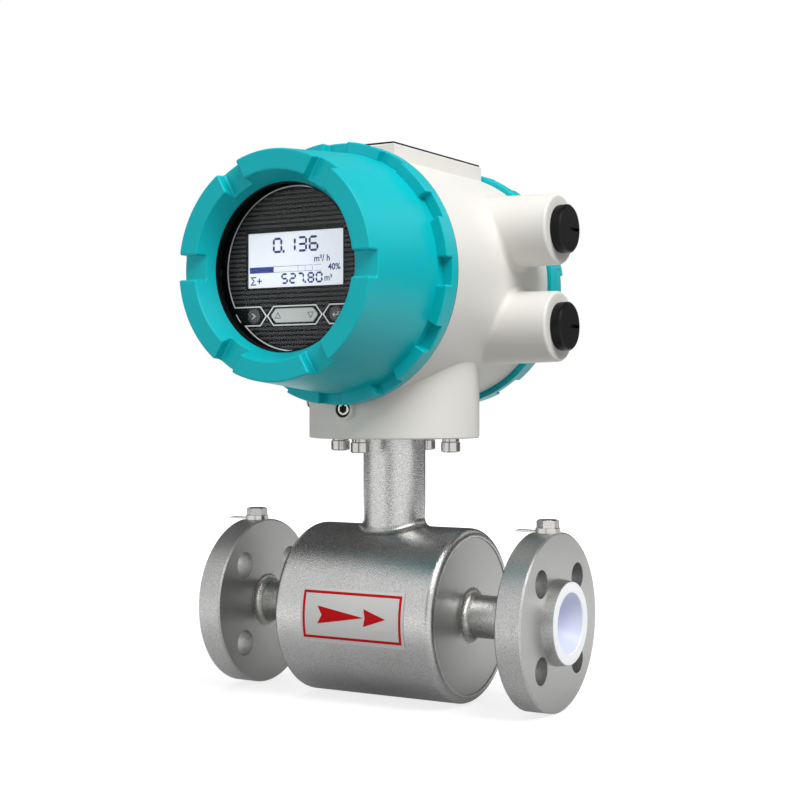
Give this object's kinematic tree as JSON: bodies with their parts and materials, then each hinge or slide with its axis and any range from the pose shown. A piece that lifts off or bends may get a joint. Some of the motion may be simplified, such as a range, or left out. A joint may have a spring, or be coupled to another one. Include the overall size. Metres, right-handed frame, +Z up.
{
  "type": "electromagnetic flow meter",
  "caption": "Flanged magnetic flow meter: lined pipe with welded sensor, neck and a round display head with a screwed window cover, rear cover and side cable entries.",
  "frame": {"origin": "on the axis of the flow bore, in the middle of the pipe under the neck", "axes": "+X along the flow, +Z up through the neck to the display head; the display faces -Y"},
  "size_m": [0.2085, 0.2078, 0.2862],
  "materials": {
    "teal_paint": "powder coat, semi-gloss",
    "white_paint": "powder coat, satin",
    "blasted_steel": "bead blasted",
    "bright_steel": "machined",
    "white_liner": "smooth fluoropolymer",
    "seal_rubber": "moulded",
    "copper_wire": "enamelled winding",
    "soft_iron": "stamped",
    "window": "toughened, clear",
    "black_anodised": "black anodised",
    "panel_black": "moulded, ribbed",
    "key_grey": "moulded",
    "screen": "lit, clear front",
    "board_green": "solder mask",
    "brass": "turned",
    "plug_black": "moulded",
    "plate_metal": "dark anodised",
    "label_film": "clear film with print"
  },
  "bodies": {
    "meter": {"housing": "white_paint", "sensor_shell": "blasted_steel", "inlet_end_plate": "blasted_steel", "outlet_end_plate": "blasted_steel", "measuring_pipe": "blasted_steel", "neck_pipe": "blasted_steel", "neck_plate": "blasted_steel", "inlet_flange": "blasted_steel", "outlet_flange": "blasted_steel", "end_plate_welds": "blasted_steel", "flange_welds": "blasted_steel", "neck_weld": "blasted_steel", "neck_bolts": "bright_steel", "neck_bolt_washers": "bright_steel", "ground_bolts": "bright_steel", "ground_washers": "bright_steel", "ground_tabs": "bright_steel", "lock_screw": "bright_steel", "ground_screw": "bright_steel", "terminal_screws": "bright_steel", "rocker_pin": "bright_steel", "electrodes": "bright_steel", "liner": "white_liner", "inlet_liner_mouth": "white_liner", "outlet_liner_mouth": "white_liner", "electrode_bushes": "white_liner", "neck_gasket": "seal_rubber", "ground_screw_washer": "seal_rubber", "field_coils": "copper_wire", "pole_cores": "soft_iron", "return_yoke": "soft_iron", "display_panel": "panel_black", "terminal_block": "panel_black", "key_switches": "panel_black", "power_transformer": "panel_black", "screen_module": "screen", "display_board": "board_green", "main_board": "board_green", "power_board": "board_green", "standoffs": "brass", "nameplate": "plate_metal", "flow_label": "label_film"},
    "front_cover_seal": {"front_cover_seal": "seal_rubber"},
    "front_cover": {"front_cover": "teal_paint", "window_gasket": "seal_rubber", "window_glass": "window", "glass_ring": "black_anodised"},
    "rear_cover_seal": {"rear_cover_seal": "seal_rubber"},
    "rear_cover": {"rear_cover": "teal_paint"},
    "upper_plug_seal": {"upper_plug_seal": "seal_rubber"},
    "upper_plug": {"upper_plug": "plug_black"},
    "lower_plug_seal": {"lower_plug_seal": "seal_rubber"},
    "lower_plug": {"lower_plug": "plug_black"},
    "select_key": {"select_key": "panel_black"},
    "enter_key": {"enter_key": "panel_black"},
    "rocker_key": {"rocker_key": "key_grey"}
  },
  "joints": [
    {"name": "front_cover_travel", "type": "slide", "parent": "meter", "child": "front_cover_seal", "axis": [0, -1, 0], "range_m": [0, 0.016]},
    {"name": "front_cover_screw", "type": "hinge", "parent": "front_cover_seal", "child": "front_cover", "pos_m": [0, -0.06, 0.174], "axis": [0, -1, 0], "range_deg": [0, 2880]},
    {"name": "rear_cover_travel", "type": "slide", "parent": "meter", "child": "rear_cover_seal", "axis": [0, 1, 0], "range_m": [0, 0.016]},
    {"name": "rear_cover_screw", "type": "hinge", "parent": "rear_cover_seal", "child": "rear_cover", "pos_m": [0, 0.07, 0.174], "axis": [0, 1, 0], "range_deg": [0, 2880]},
    {"name": "upper_plug_travel", "type": "slide", "parent": "meter", "child": "upper_plug_seal", "axis": [1, 0, 0], "range_m": [0, 0.009]},
    {"name": "upper_plug_screw", "type": "hinge", "parent": "upper_plug_seal", "child": "upper_plug", "pos_m": [0.086, 0.022, 0.199], "axis": [1, 0, 0], "range_deg": [0, 2160]},
    {"name": "lower_plug_travel", "type": "slide", "parent": "meter", "child": "lower_plug_seal", "axis": [1, 0, 0], "range_m": [0, 0.009]},
    {"name": "lower_plug_screw", "type": "hinge", "parent": "lower_plug_seal", "child": "lower_plug", "pos_m": [0.086, 0.022, 0.149], "axis": [1, 0, 0], "range_deg": [0, 2160]},
    {"name": "select_key_press", "type": "slide", "parent": "meter", "child": "select_key", "axis": [0, 1, 0], "range_m": [0, 0.0006], "stiffness_N_per_m": 400, "springref_m": -0.0006},
    {"name": "enter_key_press", "type": "slide", "parent": "meter", "child": "enter_key", "axis": [0, 1, 0], "range_m": [0, 0.0006], "stiffness_N_per_m": 400, "springref_m": -0.0006},
    {"name": "rocker_key_tilt", "type": "hinge", "parent": "meter", "child": "rocker_key", "pos_m": [0, -0.0885, 0.1516], "axis": [0, 0, 1], "range_deg": [-2, 2], "stiffness_Nm_per_rad": 0.02}
  ],
  "couplings": [
    {"joint": "front_cover_travel", "follows": "front_cover_screw", "m_per_rad": 0.0003183},
    {"joint": "rear_cover_travel", "follows": "rear_cover_screw", "m_per_rad": 0.0003183},
    {"joint": "upper_plug_travel", "follows": "upper_plug_screw", "m_per_rad": 0.00023873},
    {"joint": "lower_plug_travel", "follows": "lower_plug_screw", "m_per_rad": 0.00023873}
  ]
}
